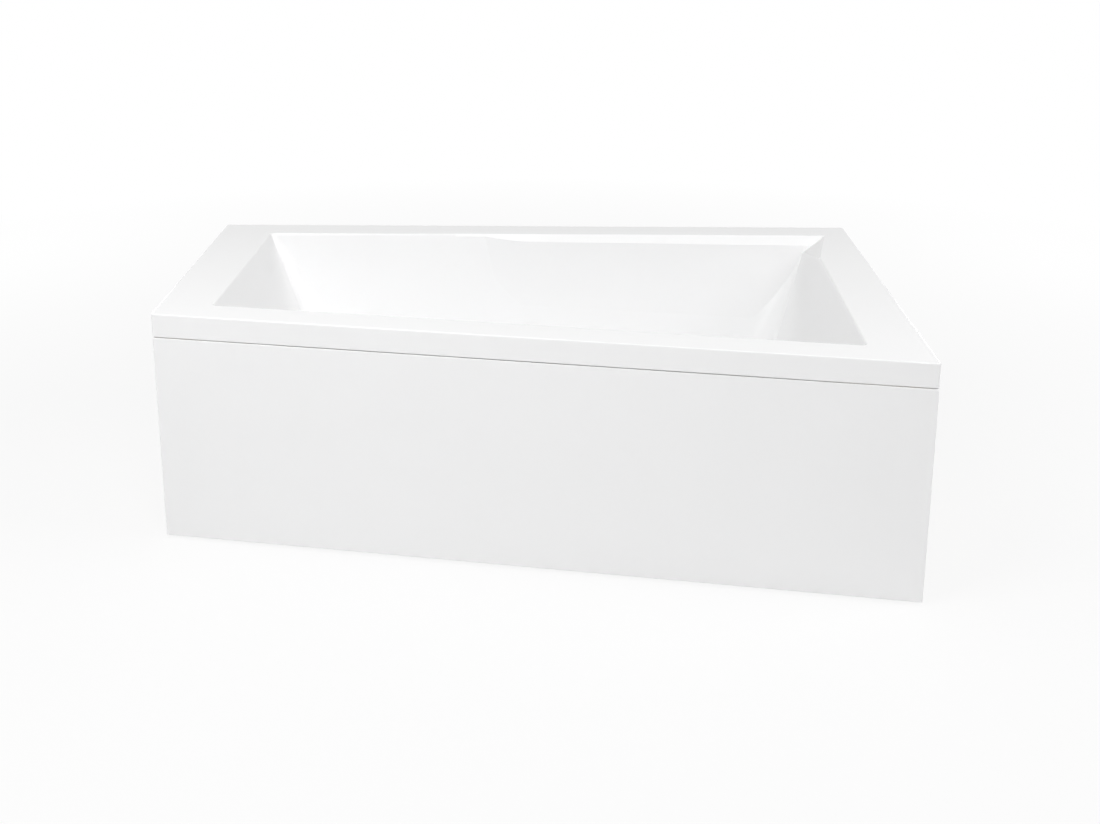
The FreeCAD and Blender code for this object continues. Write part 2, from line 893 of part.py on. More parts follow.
def stem_under():
    return plug_bottom() + plug_seal_height - stem_length


def plug_stem():
    return placed(rod(stem_radius, waste_axis(stem_under()), up, stem_length), front_frame)


def crank_point():
    drop = crank_arm * math.sin(math.radians(crank_swing / 2))
    reach = crank_arm * math.cos(math.radians(crank_swing / 2))
    tip_z = stem_under() - crank_gap - crank_tip_radius
    return Vec(0, waste_in - reach, tip_z + drop)


def lift_crank():
    along = Vec(1, 0, 0)
    width = 2 * stem_radius
    shaft = stem_radius + boss_face + pulley_gap + pulley_width
    thick = crank_thickness / 2
    solid = rod(crank_shaft_radius, Vec(-stem_radius, 0, 0), along, shaft)
    solid = solid.fuse(box(-stem_radius, stem_radius, 0, crank_arm, -thick, thick))
    solid = solid.fuse(rod(crank_tip_radius, Vec(-stem_radius, crank_arm, 0), along, width))
    solid = solid.fuse(rod(pulley_radius, Vec(boss_face + pulley_gap, 0, 0), along, pulley_width))
    solid.rotate(Vec(0, 0, 0), along, -crank_swing / 2)
    solid.translate(crank_point())
    return placed(solid, front_frame)


def lifter_housing():
    start = crank_point() + Vec(boss_face, 0, 0)
    along = Vec(1, 0, 0)
    solid = rod(housing_radius, start, along, housing_length)
    solid = solid.cut(rod(housing_radius - housing_wall, start, along, housing_length - housing_wall))
    entry = Vec(cable_offset, crank_point().y, cable_z())
    solid = solid.cut(rod(cable_radius + layer_gap, entry, Vec(0, -1, 0), 2 * housing_radius))
    return placed(solid, front_frame)


def trap_axis(z):
    return Vec(0, waste_in + trap_distance, z)


def trap_bowl():
    backward = Vec(0, 1, 0)
    inner = trap_radius - pipe_wall
    solid = rod(trap_radius, trap_axis(trap_bottom), up, trap_top - trap_bottom)
    inlet_start = Vec(0, waste_in + drain_reach, port_z())
    outlet_start = trap_axis(trap_top - trap_outlet_drop)
    solid = solid.fuse(rod(drain_radius, inlet_start, backward, trap_distance - drain_reach))
    solid = solid.fuse(rod(drain_radius, outlet_start, backward, trap_outlet_reach))
    solid = solid.cut(rod(inner, trap_axis(trap_bottom), up, trap_top - trap_bottom - pipe_wall))
    solid = solid.cut(rod(drain_radius - pipe_wall, inlet_start, backward, trap_distance - drain_reach))
    solid = solid.cut(rod(drain_radius - pipe_wall, outlet_start, backward, trap_outlet_reach))
    middle = waste_in + trap_distance
    dam = box(-trap_radius, trap_radius, middle - pipe_wall / 2, middle + pipe_wall / 2,
              trap_bottom + trap_dam_gap, trap_top - pipe_wall / 2)
    dam = dam.common(rod(inner + pipe_wall / 2, trap_axis(trap_bottom), up, trap_top - trap_bottom))
    return placed(solid.fuse(dam), front_frame)


def trap_cap():
    low = trap_bottom - pipe_wall
    outer = trap_radius + layer_gap + pipe_wall
    solid = rod(outer, trap_axis(low), up, trap_cap_height)
    solid = solid.cut(rod(trap_radius + layer_gap, trap_axis(trap_bottom), up, trap_cap_height))
    wide = grip_rib_width / 2
    for i in range(grip_rib_count):
        rib = box(outer - pipe_wall / 2, outer + grip_rib_height, -wide, wide, 0, trap_cap_height)
        rib.rotate(Vec(0, 0, 0), up, 360 / grip_rib_count * i)
        rib.translate(trap_axis(low))
        solid = solid.fuse(rib)
    return placed(solid, front_frame)


def union_nut(joint):
    start = joint - Vec(0, union_width / 2, 0)
    bore = drain_radius + layer_gap
    solid = hexagon(2 * union_radius, 0, Vec(0, 0, 0), union_width)
    solid.rotate(Vec(0, 0, 0), Vec(1, 0, 0), -90)
    solid.translate(start)
    solid = solid.common(rod(union_corner_radius, start, Vec(0, 1, 0), union_width))
    return placed(solid.cut(rod(bore, start, Vec(0, 1, 0), union_width)), front_frame)


def trap_inlet_nut():
    return union_nut(Vec(0, waste_in + drain_reach, port_z()))


def outlet_start():
    return trap_axis(trap_top - trap_outlet_drop) + Vec(0, trap_outlet_reach, 0)


def trap_outlet_nut():
    return union_nut(outlet_start())


def outlet_pipe():
    along = Vec(0, 1, 0)
    bore = drain_radius - pipe_wall
    solid = ring(drain_radius, bore, outlet_start(), along, outlet_length)
    collar_start = outlet_start() + along * (union_width / 2 + layer_gap)
    collar = ring(drain_radius + pipe_wall, bore, collar_start, along, pipe_wall)
    return placed(solid.fuse(collar), front_frame)


def on_wall(solid):
    return placed(placed(solid, overflow_frame()), front_frame)


def at_wall(depth):
    return Vec(0, 0, -depth)


def seat_depth():
    return sheet + layer_gap + backing


def overflow_faceplate():
    solid = rod(plate_radius, at_wall(0), up, plate_height)
    rim = [e for e in solid.Edges if abs(e.CenterOfMass.z - plate_height) < 0.01]
    solid = solid.makeFillet(plate_edge_radius, rim)
    solid = solid.fuse(rod(hub_radius, at_wall(seat_depth()), up, seat_depth() + plate_height))
    bore = spindle_radius + run_clearance
    solid = solid.cut(rod(bore, at_wall(seat_depth()), up, seat_depth() + plate_height))
    for i in range(8):
        if i % 4 == 0:
            continue
        turn = math.radians(45 * i)
        middle = Vec(math.cos(turn), math.sin(turn), 0) * plate_hole_offset
        solid = solid.cut(rod(plate_hole_radius, middle, up, plate_height))
    for side in (-1, 1):
        start = Vec(side * plate_screw_offset, 0, 0)
        solid = solid.cut(rod(plate_screw_radius + screw_clearance, start, up, plate_height))
    return on_wall(solid)


def overflow_screws():
    solids = []
    for side in (-1, 1):
        x = side * plate_screw_offset
        head = rod(2 * plate_screw_radius, Vec(x, 0, plate_height), up, plate_screw_head)
        reach = overflow_cup_depth / 2
        solids.append(head.fuse(rod(plate_screw_radius, Vec(x, 0, -reach), up, reach + plate_height)))
    return on_wall(group(solids))


def overflow_knob():
    low = plate_height + knob_gap
    solid = rod(knob_radius, Vec(0, 0, low), up, knob_height)
    rims = [e for e in solid.Edges if abs(e.BoundBox.ZLength) < 0.01]
    solid = solid.makeFillet(knob_edge_radius, rims)
    top = low + knob_height
    reach = knob_radius - knob_grip_inset
    wide = knob_grip_width / 2
    grip = box(-wide, wide, -reach, reach, top - weld_in, top + knob_grip_height)
    grip = grip.makeFillet(knob_grip_radius, [e for e in grip.Edges if e.CenterOfMass.z > top])
    return on_wall(solid.fuse(grip))


def knob_spindle():
    low = overflow_cup_depth - spindle_end_gap
    solid = rod(spindle_radius, at_wall(low), up, low + plate_height + knob_gap)
    return on_wall(solid.fuse(rod(pulley_radius, at_wall(low), up, pulley_width)))


def overflow_seal():
    solid = ring(plate_radius, overflow_hole_radius, at_wall(seat_depth() + lower_seal), up, lower_seal)
    return on_wall(solid)


def overflow_body():
    face = seat_depth() + lower_seal
    inner = overflow_hole_radius
    down = Vec(0, -1, 0)
    port = at_wall(overflow_port_setback)
    solid = rod(overflow_cup_radius, at_wall(overflow_cup_depth), up, overflow_cup_depth - face)
    solid = solid.fuse(rod(plate_radius, at_wall(face + pipe_wall), up, pipe_wall))
    solid = solid.fuse(rod(hose_port_radius, port, down, overflow_port_reach))
    wide = cable_ear / 2
    ear = box(-cable_offset - wide, 0, -wide, wide, -wide, wide)
    ear.translate(port)
    solid = solid.fuse(ear)
    solid = solid.cut(rod(inner, at_wall(overflow_cup_depth - pipe_wall), up, overflow_cup_depth))
    solid = solid.cut(rod(hose_port_radius - pipe_wall, port, down, overflow_port_reach))
    for side in (-1, 1):
        x = side * plate_screw_offset
        foot = Vec(x, 0, pipe_wall / 2 - overflow_cup_depth)
        post = rod(screw_post_radius, foot, up, overflow_cup_depth - face - 1.5 * pipe_wall)
        low = Vec(x, 0, -overflow_cup_depth / 2 - plate_screw_gap)
        hole = rod(plate_screw_radius + screw_clearance, low, up, overflow_cup_depth)
        solid = solid.fuse(post).cut(hole)
    entry = Vec(-cable_offset, 0, -overflow_port_setback)
    solid = solid.cut(rod(cable_radius + layer_gap, entry, down, 2 * housing_radius))
    return on_wall(solid)


def down_and_back(start, low, bend):
    lean = leans[0]
    fall = Vec(0, math.sin(lean), -math.cos(lean))
    corner = start + fall * ((start.z - low) / math.cos(lean))
    trim = bend * math.tan((math.pi / 2 - lean) / 2)
    return corner - fall * trim, corner + Vec(0, trim, 0), fall


def run_points(start, end, bend):
    arc_start, arc_end, fall = down_and_back(start, end.z, bend)
    centre = arc_end + Vec(0, 0, bend)
    swing = math.pi / 2 - leans[0]
    straight = (arc_start - start).Length
    curved = bend * swing
    total = straight + curved + (end - arc_end).Length

    def at(distance):
        if distance <= straight:
            return start + fall * distance, fall
        if distance <= straight + curved:
            turn = leans[0] + (distance - straight) / bend
            spoke = Vec(0, -math.cos(turn), -math.sin(turn))
            return centre + spoke * bend, Vec(0, math.sin(turn), -math.cos(turn))
        return arc_end + Vec(0, distance - straight - curved, 0), Vec(0, 1, 0)

    return at, total


def swept(start, end, bend, radius):
    arc_start, arc_end, fall = down_and_back(start, end.z, bend)
    centre = arc_end + Vec(0, 0, bend)
    turn = leans[0] + (math.pi / 2 - leans[0]) / 2
    middle = centre + Vec(0, -math.cos(turn), -math.sin(turn)) * bend
    bent = Part.Arc(arc_start, middle, arc_end).toShape()
    path = [Part.makeLine(start, arc_start), bent, Part.makeLine(arc_end, end)]
    circle = Part.Wire(Part.makeCircle(radius, start, fall))
    return Part.Wire(path).makePipeShell([circle], True, False)


def hose_ends():
    frame = overflow_frame()
    start = frame.multVec(Vec(0, hose_overlap - overflow_port_reach, -overflow_port_setback))
    end = Vec(0, waste_in - hose_port_reach + hose_overlap, port_z())
    return start, end


def ribbed(start, end, bend, low_radius, high_radius):
    at, total = run_points(start, end, bend)
    plain = clamp_width + clamp_margin
    count = int((total - 2 * plain) / rib_pitch)
    pitch = (total - 2 * plain) / count
    stations = [(0, low_radius)]
    for i in range(count):
        begin = plain + i * pitch
        stations.append((begin + rib_rise_from * pitch, low_radius))
        stations.append((begin + rib_flat_from * pitch, high_radius))
        stations.append((begin + (1 - rib_flat_from) * pitch, high_radius))
        stations.append((begin + (1 - rib_rise_from) * pitch, low_radius))
    stations.append((total, low_radius))
    wires = []
    for distance, radius in stations:
        point, heading = at(distance)
        side = Vec(1, 0, 0)
        circle = Part.Circle(Vec(0, 0, 0), up, radius).toShape()
        turn = FreeCAD.Rotation(side, heading.cross(side), heading, "ZXY")
        circle.Placement = FreeCAD.Placement(point, turn)
        wires.append(Part.Wire(circle))
    return Part.makeLoft(wires, True, True)


def overflow_hose():
    start, end = hose_ends()
    bore = hose_port_radius + hose_clearance
    skin = ribbed(start, end, hose_bend, bore + hose_wall, bore + hose_wall + rib_height)
    return placed(skin.cut(swept(start, end, hose_bend, bore)), front_frame)


def hose_nuts():
    start, end = hose_ends()
    fall = down_and_back(start, end.z, hose_bend)[2]
    bore = hose_port_radius + hose_clearance + hose_wall + layer_gap
    upper = ring(clamp_radius, bore, start + fall, fall, clamp_width)
    lower = ring(clamp_radius, bore, end - Vec(0, 1, 0), Vec(0, -1, 0), clamp_width)
    return placed(group([upper, lower]), front_frame)


def cable_z():
    return crank_point().z + pulley_radius - cable_radius


def cable_ends():
    start = overflow_frame().multVec(Vec(-cable_offset, 0, -overflow_port_setback))
    end = Vec(cable_offset, crank_point().y - housing_radius + housing_wall / 2, cable_z())
    return start, end


def control_cable():
    start, end = cable_ends()
    return placed(swept(start, end, cable_bend, cable_radius), front_frame)


def cable_glands():
    start, end = cable_ends()
    fall = down_and_back(start, end.z, cable_bend)[2]
    bore = cable_radius + layer_gap
    upper = ring(gland_radius, bore, start + fall * (cable_ear / 2), fall, gland_length)
    outside = Vec(end.x, crank_point().y - housing_radius, end.z)
    lower = ring(gland_radius, bore, outside, Vec(0, -1, 0), gland_length)
    return placed(group([upper, lower]), front_frame)


def all_parts():
    left, right = bar_places()
    parts = {
        "tub_shell": tub_shell(), "laminate_backing": laminate_backing(), "base_board": base_board(),
        "rim_batten_front": rim_batten_front(), "rim_batten_right": batten(1),
        "rim_batten_rear": rim_batten_rear(), "rim_batten_left": batten(3),
        "crossbar_left": crossbar(left), "crossbar_right": crossbar(right),
        "crossbar_screws": crossbar_screws(), "weld_nuts": weld_nuts(), "lock_nuts": lock_nuts(),
        "wall_brackets": wall_brackets(), "bracket_screws": bracket_screws(),
        "front_panel": front_panel(), "panel_stiffeners": panel_stiffeners(),
        "panel_top_clips": panel_top_clips(), "clip_screws": clip_screws(),
        "panel_arms": panel_arms(), "arm_bolts": arm_bolts(), "arm_nuts": arm_nuts(),
        "waste_flange": waste_flange(), "waste_upper_seal": waste_upper_seal(),
        "waste_lower_seal": waste_lower_seal(), "waste_body": waste_body(),
        "plug_cap": plug_cap(), "plug_seal": plug_seal(), "plug_stem": plug_stem(),
        "lift_crank": lift_crank(), "lifter_housing": lifter_housing(),
        "trap_bowl": trap_bowl(), "trap_cap": trap_cap(), "trap_inlet_nut": trap_inlet_nut(),
        "trap_outlet_nut": trap_outlet_nut(), "outlet_pipe": outlet_pipe(),
        "overflow_body": overflow_body(), "overflow_seal": overflow_seal(),
        "overflow_faceplate": overflow_faceplate(), "overflow_screws": overflow_screws(),
        "overflow_knob": overflow_knob(), "knob_spindle": knob_spindle(),
        "overflow_hose": overflow_hose(), "hose_nuts": hose_nuts(),
        "control_cable": control_cable(), "cable_glands": cable_glands(),
    }
    for end, x in (("left", left), ("right", right)):
        for side, point in zip(("front", "rear"), foot_points(x)):
            parts[f"foot_stud_{side}_{end}"] = foot_stud(point)
            parts[f"foot_pad_{side}_{end}"] = foot_pad(point)
    return parts


os.makedirs("parts", exist_ok=True)
for name, shape in all_parts().items():
    shape.exportStep(f"parts/{name}.step")
    print(name, len(shape.Solids), shape.isValid(), round(shape.Volume))
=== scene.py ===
import bpy
import json
import math
from mathutils import Matrix, Vector


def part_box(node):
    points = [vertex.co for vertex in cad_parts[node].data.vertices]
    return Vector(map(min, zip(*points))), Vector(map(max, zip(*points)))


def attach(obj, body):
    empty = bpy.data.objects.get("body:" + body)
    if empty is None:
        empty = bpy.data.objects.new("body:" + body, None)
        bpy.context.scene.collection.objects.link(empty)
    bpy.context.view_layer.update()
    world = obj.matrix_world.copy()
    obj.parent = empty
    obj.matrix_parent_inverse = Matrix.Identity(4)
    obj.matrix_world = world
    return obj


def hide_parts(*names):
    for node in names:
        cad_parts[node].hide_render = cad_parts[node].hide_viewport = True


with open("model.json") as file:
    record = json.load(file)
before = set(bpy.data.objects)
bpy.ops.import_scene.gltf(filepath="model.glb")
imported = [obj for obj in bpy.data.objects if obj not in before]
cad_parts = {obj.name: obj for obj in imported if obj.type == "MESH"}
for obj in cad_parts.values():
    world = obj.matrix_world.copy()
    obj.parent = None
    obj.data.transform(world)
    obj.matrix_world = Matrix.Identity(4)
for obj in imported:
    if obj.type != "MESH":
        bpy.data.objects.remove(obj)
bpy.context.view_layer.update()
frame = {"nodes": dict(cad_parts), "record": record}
nodes = frame["nodes"]
scene = bpy.context.scene
scene.view_settings.view_transform = "Standard"
print("frame loaded:", len(nodes), "pieces")


# camera, set from the straight edges of the photo
cameraSetup = {
    "place": (0.062, -3.400, 1.579),
    "turn": 0.29, "tilt": 15.84, "roll": 0.22,   # degrees
    "lens": 48.34, "film": 36, "shiftUp": -0.14,
}


def placeCamera(setup):
    bpy.ops.object.camera_add()
    camera = bpy.context.object
    turn = Matrix.Rotation(math.radians(setup["turn"]), 4, "Z")
    tilt = Matrix.Rotation(math.radians(90 - setup["tilt"]), 4, "X")
    roll = Matrix.Rotation(math.radians(setup["roll"]), 4, "Z")
    camera.matrix_world = Matrix.Translation(setup["place"]) @ turn @ tilt @ roll
    camera.data.sensor_width = setup["film"]
    camera.data.lens = setup["lens"]
    camera.data.shift_y = setup["shiftUp"]
    scene.camera = camera


placeCamera(cameraSetup)
print("camera placed")


# shader kit: Wire is a socket that takes sums, Paint is one material
class Wire:
    def __init__(self, paint, socket):
        self.paint = paint
        self.socket = socket

    def maths(self, kind, other, turned=False):
        first, second = (other, self) if turned else (self, other)
        return self.paint.node("Math", {"operation": kind}, {0: first, 1: second})

    def __add__(self, other):
        return self.maths("ADD", other)

    def __radd__(self, other):
        return self.maths("ADD", other, True)

    def __sub__(self, other):
        return self.maths("SUBTRACT", other)

    def __rsub__(self, other):
        return self.maths("SUBTRACT", other, True)

    def __mul__(self, other):
        return self.maths("MULTIPLY", other)

    def __rmul__(self, other):
        return self.maths("MULTIPLY", other, True)

    def __truediv__(self, other):
        return self.maths("DIVIDE", other)

    def __rtruediv__(self, other):
        return self.maths("DIVIDE", other, True)


class Paint:
    def __init__(self, owner):
        owner.use_nodes = True
        self.owner = owner
        self.tree = owner.node_tree
        self.tree.nodes.clear()
        self.spot = self.node("TexCoord", out="Object")

    def node(self, kind, settings=None, sockets=None, out=0):
        made = self.tree.nodes.new("ShaderNode" + kind)
        for key, value in (settings or {}).items():
            if key == "stops":
                self.setStops(made.color_ramp.elements, value)
            else:
                setattr(made, key, value)
        for key, value in (sockets or {}).items():
            if isinstance(value, Wire):
                self.tree.links.new(value.socket, made.inputs[key])
            else:
                made.inputs[key].default_value = value
        return Wire(self, made.outputs[out]) if made.outputs else made

    def setStops(self, elements, stops):
        while len(elements) < len(stops):
            elements.new(0.5)
        for element, (where, level) in zip(elements, stops):
            element.position = where
            element.color = (level, level, level, 1)

    # one unit of the pattern is this many metres each way
    def stretch(self, size, turn=(0, 0, 0), where=None):
        sockets = {"Vector": where or self.spot, "Rotation": turn, "Scale": size}
        return self.node("Mapping", {"vector_type": "TEXTURE"}, sockets)

    def noise(self, scale, detail, rough, where=None):
        sockets = {"Vector": where or self.spot, "Scale": scale, "Detail": detail, "Roughness": rough}
        return self.node("TexNoise", None, sockets)

    def cells(self, scale, where=None, out="Distance", feature="F1"):
        sockets = {"Vector": where or self.spot, "Scale": scale}
        return self.node("TexVoronoi", {"feature": feature}, sockets, out)

    def cellTone(self, scale, where=None):   # one grey level for each cell
        return self.node("SeparateColor", None, {"Color": self.cells(scale, where, "Color")})

    def ramp(self, value, stops):
        return self.node("ValToRGB", {"stops": stops}, {"Fac": value})

    def tint(self, share, low, high):
        return self.node("Mix", {"data_type": "RGBA"}, {0: share, 6: low, 7: high}, 2)

    def finish(self, sockets, height, depth):
        bump = self.node("Bump", None, {"Height": height, "Distance": depth, "Strength": 1.0})
        skin = self.node("BsdfPrincipled", None, {**sockets, "Normal": bump})
        self.node("OutputMaterial", None, {"Surface": skin})
        return self.owner


def newPaint(name):
    return Paint(bpy.data.materials.new(name))


def shade(red, green, blue):
    return (red, green, blue, 1)


# in each look a noise is scale, detail, roughness, and stops are place and level
acrylicLook = {
    "clean": shade(0.935, 0.935, 0.937), "dull": shade(0.915, 0.916, 0.917),
    "cloud": (2.3, 2, 0.5), "fine": (420, 2, 0.5), "peel": (110, 2, 0.4),
    "wipe": (1, 4, 0.6), "wipeSize": (0.20, 0.05, 0.07), "wipeTurn": (0, 0, 0.4),
    "smearStops": ((0.45, 0.0), (0.75, 1.0)), "cloudTint": 0.7, "fineTint": 0.3,
    "rough": 0.09, "smearRough": 0.035, "fineRough": 0.02, "bend": 1.49, "deep": 0.00004,
}


def acrylicPaint(look):
    paint = newPaint("whiteAcrylic")
    cloud = paint.noise(*look["cloud"])
    fine = paint.noise(*look["fine"])
    wipe = paint.noise(*look["wipe"], paint.stretch(look["wipeSize"], look["wipeTurn"]))
    peel = paint.noise(*look["peel"])
    colour = paint.tint(cloud * look["cloudTint"] + fine * look["fineTint"], look["dull"], look["clean"])
    smear = paint.ramp(wipe, look["smearStops"])
    rough = look["rough"] + smear * look["smearRough"] + fine * look["fineRough"]
    skin = {"Base Color": colour, "Roughness": rough, "IOR": look["bend"]}
    return paint.finish(skin, peel, look["deep"])


laminateLook = {
    "resin": shade(0.70, 0.67, 0.58), "thick": shade(0.59, 0.54, 0.43), "strand": shade(0.88, 0.87, 0.82),
    "pool": (11, 3, 0.5), "lump": (75, 4, 0.6), "drip": (1, 2, 0.5), "dripSize": (0.022, 0.022, 0.26),
    "strandSize": (0.042, 0.0019, 0.0019), "strandStops": ((0.70, 0.0), (0.74, 1.0)), "strandTint": 0.30,
    "strandTurns": [(0, 0.35, 0.1), (0, -0.6, 0.05), (0, 1.2, 0.5),
                    (0, 0.3, 1.5), (0, -0.7, 1.65), (0, 0.05, 0.8)],
    "poolWet": 0.6, "dripWet": 0.4, "wetStops": ((0.40, 0.0), (0.62, 1.0)),
    "rough": 0.34, "lumpRough": 0.30, "wetGloss": 0.12,
    "lumpRise": 0.7, "strandRise": 0.12, "poolRise": 0.5, "wetRise": 0.2, "bend": 1.5, "deep": 0.0016,
}


def laminatePaint(look):
    paint = newPaint("sprayedLaminate")
    pool = paint.noise(*look["pool"])
    lump = paint.noise(*look["lump"])
    drip = paint.noise(*look["drip"], paint.stretch(look["dripSize"]))
    strands = [paint.cellTone(1, paint.stretch(look["strandSize"], turn)) for turn in look["strandTurns"]]
    threads = sum(paint.ramp(strand, look["strandStops"]) for strand in strands)
    wet = paint.ramp(pool * look["poolWet"] + drip * look["dripWet"], look["wetStops"])
    base = paint.tint(wet, look["resin"], look["thick"])
    colour = paint.tint(threads * look["strandTint"], base, look["strand"])
    rough = look["rough"] + lump * look["lumpRough"] - wet * look["wetGloss"]
    height = lump * look["lumpRise"] + threads * look["strandRise"]
    height = height + pool * look["poolRise"] + wet * look["wetRise"]
    skin = {"Base Color": colour, "Roughness": rough, "IOR": look["bend"]}
    return paint.finish(skin, height, look["deep"])


chipboardLook = {
    "pale": shade(0.66, 0.50, 0.31), "dark": shade(0.33, 0.21, 0.11), "glue": shade(0.50, 0.36, 0.21),
    "rippleScale": 90.0, "warp": (0.006, 0.006, 0.003),
    "flakeSize": (0.0075, 0.0028, 0.0016), "flakeTurn": (0, 0, 0.35), "dust": (900, 2, 0.5),
    "glueStops": ((0.1, 0.0), (0.9, 1.0)), "darkStops": ((0.86, 0.0), (0.9, 0.8)),
    "splitStops": ((0.0, 0.22), (0.05, 0.0)), "dustTint": 0.25,
    "rough": 0.78, "dustRough": 0.15, "chipRise": 0.6, "dustRise": 0.3, "deep": 0.0005,
}


def chipboardPaint(look):
    paint = newPaint("rawChipboard")
    ripple = paint.node("TexNoise", None, {"Vector": paint.spot, "Scale": look["rippleScale"]}, "Color")
    warpSockets = {0: ripple, 1: look["warp"], 2: paint.spot}
    warp = paint.node("VectorMath", {"operation": "MULTIPLY_ADD"}, warpSockets)
    flake = paint.stretch(look["flakeSize"], look["flakeTurn"], warp)
    dust = paint.noise(*look["dust"])
    split = paint.cells(1, flake, "Distance", "DISTANCE_TO_EDGE")
    tone = paint.cellTone(1, flake)
    colour = paint.tint(paint.ramp(tone, look["glueStops"]), look["pale"], look["glue"])
    colour = paint.tint(paint.ramp(tone, look["darkStops"]), colour, look["dark"])
    colour = paint.tint(paint.ramp(split, look["splitStops"]), colour, look["dark"])
    colour = paint.tint(dust * look["dustTint"], colour, look["pale"])
    rough = look["rough"] + dust * look["dustRough"]
    height = tone * look["chipRise"] + dust * look["dustRise"]
    return paint.finish({"Base Color": colour, "Roughness": rough}, height, look["deep"])


timberLook = {
    "early": shade(0.72, 0.53, 0.31), "late": shade(0.46, 0.28, 0.13),
    "swirl": (1, 3, 0.5), "swirlSize": (1.6, 0.09, 0.09), "swirlRings": 7.0,
    "sawn": (1, 2, 0.5), "sawnSize": (0.0014, 0.02, 0.02),
    "fibre": (1, 3, 0.6), "fibreSize": (0.06, 0.0016, 0.0016),
    "ringPitch": 0.011, "ringAcross": 0.8, "ringUp": 0.6,
    "ringStops": ((0.0, 0.05), (0.55, 0.25), (0.92, 1.0), (1.0, 0.1)), "ringTint": 0.8, "fibreTint": 0.3,
    "rough": 0.62, "fibreRough": 0.25, "fibreRise": 0.5, "sawnRise": 0.5, "ringSink": 0.2, "deep": 0.0005,
}


def timberPaint(name, angle, look):   # the angle turns the grain about the upright
    paint = newPaint(name)
    turn = (0, 0, angle)
    along = paint.stretch((1, 1, 1), turn)
    swirl = paint.noise(*look["swirl"], paint.stretch(look["swirlSize"], turn))
    sawn = paint.noise(*look["sawn"], paint.stretch(look["sawnSize"], turn))
    fibre = paint.noise(*look["fibre"], paint.stretch(look["fibreSize"], turn))
    across = paint.node("SeparateXYZ", None, {"Vector": along}, "Y")
    rise = paint.node("SeparateXYZ", None, {"Vector": along}, "Z")
    slope = across * look["ringAcross"] + rise * look["ringUp"]
    ringPlace = slope / look["ringPitch"] + swirl * look["swirlRings"]
    ring = paint.node("Math", {"operation": "FRACT"}, {0: ringPlace})
    band = paint.ramp(ring, look["ringStops"])
    colour = paint.tint(band * look["ringTint"], look["early"], look["late"])
    colour = paint.tint(fibre * look["fibreTint"], colour, look["late"])
    rough = look["rough"] + fibre * look["fibreRough"]
    height = fibre * look["fibreRise"] + sawn * look["sawnRise"] - band * look["ringSink"]
    return paint.finish({"Base Color": colour, "Roughness": rough}, height, look["deep"])


steelLook = {
    "bright": shade(0.74, 0.75, 0.77), "dull": shade(0.56, 0.58, 0.61), "smoke": shade(0.50, 0.50, 0.49),
    "spangleScale": 120, "cloud": (20, 4, 0.6), "drawn": (1, 3, 0.6), "drawnSize": (0.003, 0.06, 0.003),
    "spangleTint": 0.5, "cloudTint": 0.5, "smokeStops": ((0.55, 0.0), (0.75, 0.55)),
    "rough": 0.27, "cloudRough": 0.16, "spangleRough": 0.07, "drawnRough": 0.06,
    "drawnRise": 0.6, "cloudRise": 0.4, "deep": 0.00006,
}


def steelPaint(look):
    paint = newPaint("zincSteel")
    spangle = paint.cellTone(look["spangleScale"])
    cloud = paint.noise(*look["cloud"])
    drawn = paint.noise(*look["drawn"], paint.stretch(look["drawnSize"]))
    mottle = spangle * look["spangleTint"] + cloud * look["cloudTint"]
    colour = paint.tint(mottle, look["dull"], look["bright"])
    colour = paint.tint(paint.ramp(cloud, look["smokeStops"]), colour, look["smoke"])
    rough = look["rough"] + cloud * look["cloudRough"]
    rough = rough + spangle * look["spangleRough"] + drawn * look["drawnRough"]
    height = drawn * look["drawnRise"] + cloud * look["cloudRise"]
    return paint.finish({"Base Color": colour, "Metallic": 1.0, "Roughness": rough}, height, look["deep"])


chromeLook = {
    "bright": shade(0.60, 0.61, 0.62), "hazed": shade(0.50, 0.51, 0.53),
    "haze": (38, 4, 0.6), "hazeTint": 0.6,
    "fine": (1, 2, 0.5), "fineSize": (0.0007, 0.007, 0.0007), "fineTurn": (0, 0, 0.6),
    "spotScale": 160, "spotStops": ((0.05, 1.0), (0.14, 0.0)),
    "rough": 0.045, "hazeRough": 0.05, "fineRough": 0.03, "spotRough": 0.05, "deep": 0.000008,
}


def chromePaint(look):
    paint = newPaint("polishedChrome")
    haze = paint.noise(*look["haze"])
    fine = paint.noise(*look["fine"], paint.stretch(look["fineSize"], look["fineTurn"]))
    spots = paint.ramp(paint.cells(look["spotScale"]), look["spotStops"])
    colour = paint.tint(haze * look["hazeTint"], look["bright"], look["hazed"])
    rough = look["rough"] + haze * look["hazeRough"] + fine * look["fineRough"] + spots * look["spotRough"]
    return paint.finish({"Base Color": colour, "Metallic": 1.0, "Roughness": rough}, fine, look["deep"])


mouldedLook = {   # what the plastics and the rubber share
    "rub": (1, 4, 0.7), "rubSize": (0.04, 0.010, 0.016), "rubTurn": (0.2, 0.3, 0.8),
    "scuffStops": ((0.60, 0.0), (0.75, 1.0)),
    "grainRough": 0.12, "scuffRough": 0.1, "grainRise": 0.8, "cloudRise": 0.2,
}
blackLook = {
    "dark": shade(0.018, 0.018, 0.020), "light": shade(0.035, 0.035, 0.037),
    "scuffed": shade(0.10, 0.10, 0.10), "worn": 0.5,
    "cloud": (30, 3, 0.5), "grain": (900, 2, 0.6), "rough": 0.38, "bend": 1.5, "deep": 0.0001,
}
whiteLook = {
    "dark": shade(0.77, 0.77, 0.75), "light": shade(0.84, 0.84, 0.83),
    "scuffed": shade(0.66, 0.66, 0.64), "worn": 0.3,
    "cloud": (22, 3, 0.5), "grain": (700, 2, 0.6), "rough": 0.30, "bend": 1.49, "deep": 0.00008,
}
